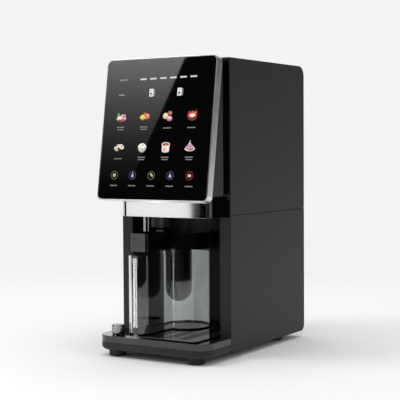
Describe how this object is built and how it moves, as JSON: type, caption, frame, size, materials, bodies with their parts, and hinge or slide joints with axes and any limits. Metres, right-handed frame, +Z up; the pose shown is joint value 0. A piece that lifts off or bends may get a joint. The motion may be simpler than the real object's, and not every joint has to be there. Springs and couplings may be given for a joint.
{
  "type": "coffee vending machine",
  "caption": "Narrow table-top coffee vending machine with a leaning touch screen, a cup bay with a clear brewing jug, and a drip tray that draws out at the front.",
  "frame": {"origin": "centre of the bounding box's underside, on the surface the feet stand on", "axes": "+X to the user's right, -Y out of the front, +Z up"},
  "size_m": [0.27, 0.432, 0.6185],
  "materials": {
    "cabinet_paint": "satin",
    "cabinet_plastic": "satin",
    "gloss_black": "glossy",
    "black_plastic": "matte",
    "grey_plastic": "satin",
    "white_plastic": "satin",
    "smoke_plastic": "glossy",
    "clear_plastic": "clear",
    "tank_plastic": "clear",
    "screen_glass": "glossy",
    "satin_aluminium": "satin",
    "cast_aluminium": "cast",
    "chrome": "polished",
    "zinc_steel": "zinc plated",
    "burr_steel": "ground",
    "brass": "cast",
    "circuit_board": "lacquered",
    "hose_silicone": "satin",
    "seal_rubber": "matte",
    "foot_rubber": "matte"
  },
  "bodies": {
    "machine": {"base_plinth": "cabinet_plastic", "feet": "foot_rubber", "tray_guides": "black_plastic", "chassis_posts": "zinc_steel", "lower_shelf": "zinc_steel", "middle_shelf": "zinc_steel", "left_lower_panel": "cabinet_paint", "right_lower_panel": "cabinet_paint", "left_upper_panel": "cabinet_paint", "right_upper_panel": "cabinet_paint", "top_cover": "cabinet_paint", "rear_cover": "cabinet_paint", "bay_liner": "black_plastic", "screen_mount": "gloss_black", "head_housing": "gloss_black", "head_band": "satin_aluminium", "outlet_tube": "chrome", "nozzle_block": "grey_plastic", "hinge_brackets": "zinc_steel", "hinge_pins": "zinc_steel", "cover_screws": "zinc_steel", "mains_inlet": "black_plastic", "fan_housing": "black_plastic", "bean_hopper": "smoke_plastic", "grinder_body": "cast_aluminium", "grinder_motor": "zinc_steel", "powder_canister": "white_plastic", "dosing_motors": "zinc_steel", "mixing_bowl": "white_plastic", "brew_cylinder": "cast_aluminium", "brew_guide": "black_plastic", "boiler": "cast_aluminium", "water_pump": "brass", "power_supply": "zinc_steel", "control_board": "circuit_board", "water_hoses": "hose_silicone", "tank_dock": "white_plastic"},
    "screen_door": {"screen_glass": "screen_glass", "screen_bezel": "satin_aluminium", "lcd_panel": "black_plastic", "screen_housing": "cabinet_plastic", "screen_board": "circuit_board"},
    "tray": {"drip_deck": "gloss_black", "drip_pan": "black_plastic", "drip_grate": "gloss_black", "grounds_bin": "black_plastic"},
    "lock": {"lock_knob": "chrome", "lock_cam": "zinc_steel"},
    "jug": {"jug_body": "clear_plastic", "jug_lid": "gloss_black", "jug_seal": "seal_rubber", "infuser": "smoke_plastic"},
    "hopper_flap": {"hopper_lid": "cabinet_paint"},
    "tank": {"water_tank": "tank_plastic", "tank_lid": "cabinet_paint"},
    "burr": {"grinder_burr": "burr_steel"},
    "auger": {"powder_auger": "white_plastic"},
    "whisk": {"whipper": "white_plastic"},
    "fan": {"fan_rotor": "black_plastic"},
    "piston": {"brew_piston": "white_plastic"}
  },
  "joints": [
    {"name": "screen_swing", "type": "hinge", "parent": "machine", "child": "screen_door", "pos_m": [-0.126, -0.128, 0.47], "axis": [0, 0, -1], "range_deg": [0, 95]},
    {"name": "tray_slide", "type": "slide", "parent": "machine", "child": "tray", "axis": [0, -1, 0], "range_m": [0, 0.2]},
    {"name": "lock_turn", "type": "hinge", "parent": "tray", "child": "lock", "pos_m": [-0.098, -0.185, 0.044], "axis": [0, 0, 1], "range_deg": [0, 90]},
    {"name": "jug_slide", "type": "slide", "parent": "tray", "child": "jug", "axis": [0, -1, 0], "range_m": [0, 0.23]},
    {"name": "hopper_lid_hinge", "type": "hinge", "parent": "machine", "child": "hopper_flap", "pos_m": [0, 0.0924, 0.6126], "axis": [-1, 0, 0], "range_deg": [0, 90]},
    {"name": "tank_lift", "type": "slide", "parent": "machine", "child": "tank", "axis": [0, 0, 1], "range_m": [0, 0.32]},
    {"name": "burr_spin", "type": "hinge", "parent": "machine", "child": "burr", "pos_m": [-0.065, -0.015, 0.4155], "axis": [0, 0, 1], "continuous": true},
    {"name": "auger_spin", "type": "hinge", "parent": "machine", "child": "auger", "pos_m": [0.065, -0.015, 0.449], "axis": [0, 1, 0], "continuous": true},
    {"name": "whipper_spin", "type": "hinge", "parent": "machine", "child": "whisk", "pos_m": [0.065, -0.06, 0.3475], "axis": [0, 1, 0], "continuous": true},
    {"name": "fan_spin", "type": "hinge", "parent": "machine", "child": "fan", "pos_m": [0.065, 0.2045, 0.0755], "axis": [0, 1, 0], "continuous": true},
    {"name": "piston_travel", "type": "slide", "parent": "machine", "child": "piston", "axis": [0, 0, -1], "range_m": [0, 0.06]}
  ]
}
